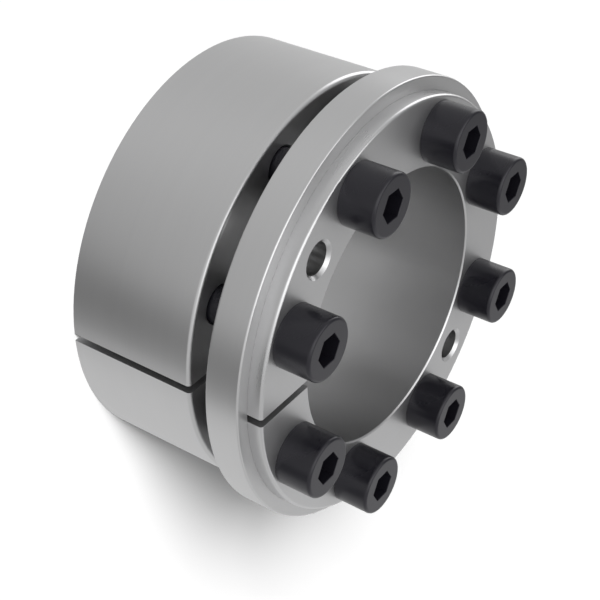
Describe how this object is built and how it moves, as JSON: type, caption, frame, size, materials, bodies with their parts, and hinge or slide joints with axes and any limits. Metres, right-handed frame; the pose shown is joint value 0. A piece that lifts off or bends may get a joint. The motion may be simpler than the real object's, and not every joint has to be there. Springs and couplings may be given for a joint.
{
  "type": "shaft locking assembly",
  "caption": "Keyless cone clamping ring set that locks a hub on a shaft: slit inner and outer rings, a spacer collar round the flange, and a circle of black socket head screws.",
  "frame": {"origin": "middle of the rear end, on the axis, in the plane that both rings end in", "axes": "+Z along the axis towards the screw heads; the slits of both rings face -Y"},
  "size_m": [0.096, 0.096, 0.0547],
  "materials": {
    "ring_steel": "fine turned, satin, lightly oiled",
    "screw_steel": "black oxide, satin"
  },
  "bodies": {
    "inner_body": {"inner_ring": "ring_steel", "spacer_ring": "ring_steel"},
    "outer_ring": {"outer_ring": "ring_steel"},
    "screw_1": {"screw_1": "screw_steel"},
    "screw_2": {"screw_2": "screw_steel"},
    "screw_3": {"screw_3": "screw_steel"},
    "screw_4": {"screw_4": "screw_steel"},
    "screw_5": {"screw_5": "screw_steel"},
    "screw_6": {"screw_6": "screw_steel"},
    "screw_7": {"screw_7": "screw_steel"},
    "screw_8": {"screw_8": "screw_steel"}
  },
  "joints": [
    {"name": "screw_1_turn", "type": "hinge", "parent": "inner_body", "child": "screw_1", "pos_m": [0.01435, -0.03465, 0.0467], "axis": [0, 0, -1], "range_deg": [0, 720]},
    {"name": "screw_2_turn", "type": "hinge", "parent": "inner_body", "child": "screw_2", "pos_m": [0.03465, -0.01435, 0.0467], "axis": [0, 0, -1], "range_deg": [0, 720]},
    {"name": "screw_3_turn", "type": "hinge", "parent": "inner_body", "child": "screw_3", "pos_m": [0.03465, 0.01435, 0.0467], "axis": [0, 0, -1], "range_deg": [0, 720]},
    {"name": "screw_4_turn", "type": "hinge", "parent": "inner_body", "child": "screw_4", "pos_m": [0.01435, 0.03465, 0.0467], "axis": [0, 0, -1], "range_deg": [0, 720]},
    {"name": "screw_5_turn", "type": "hinge", "parent": "inner_body", "child": "screw_5", "pos_m": [-0.01435, 0.03465, 0.0467], "axis": [0, 0, -1], "range_deg": [0, 720]},
    {"name": "screw_6_turn", "type": "hinge", "parent": "inner_body", "child": "screw_6", "pos_m": [-0.03465, 0.01435, 0.0467], "axis": [0, 0, -1], "range_deg": [0, 720]},
    {"name": "screw_7_turn", "type": "hinge", "parent": "inner_body", "child": "screw_7", "pos_m": [-0.03465, -0.01435, 0.0467], "axis": [0, 0, -1], "range_deg": [0, 720]},
    {"name": "screw_8_turn", "type": "hinge", "parent": "inner_body", "child": "screw_8", "pos_m": [-0.01435, -0.03465, 0.0467], "axis": [0, 0, -1], "range_deg": [0, 720]},
    {"name": "clamp_travel", "type": "slide", "parent": "inner_body", "child": "outer_ring", "axis": [0, 0, 1], "range_m": [0, 0.0025]}
  ],
  "couplings": [
    {"joint": "screw_1_turn", "follows": "clamp_travel", "rad_per_m": 5026.5},
    {"joint": "screw_2_turn", "follows": "clamp_travel", "rad_per_m": 5026.5},
    {"joint": "screw_3_turn", "follows": "clamp_travel", "rad_per_m": 5026.5},
    {"joint": "screw_4_turn", "follows": "clamp_travel", "rad_per_m": 5026.5},
    {"joint": "screw_5_turn", "follows": "clamp_travel", "rad_per_m": 5026.5},
    {"joint": "screw_6_turn", "follows": "clamp_travel", "rad_per_m": 5026.5},
    {"joint": "screw_7_turn", "follows": "clamp_travel", "rad_per_m": 5026.5},
    {"joint": "screw_8_turn", "follows": "clamp_travel", "rad_per_m": 5026.5}
  ]
}
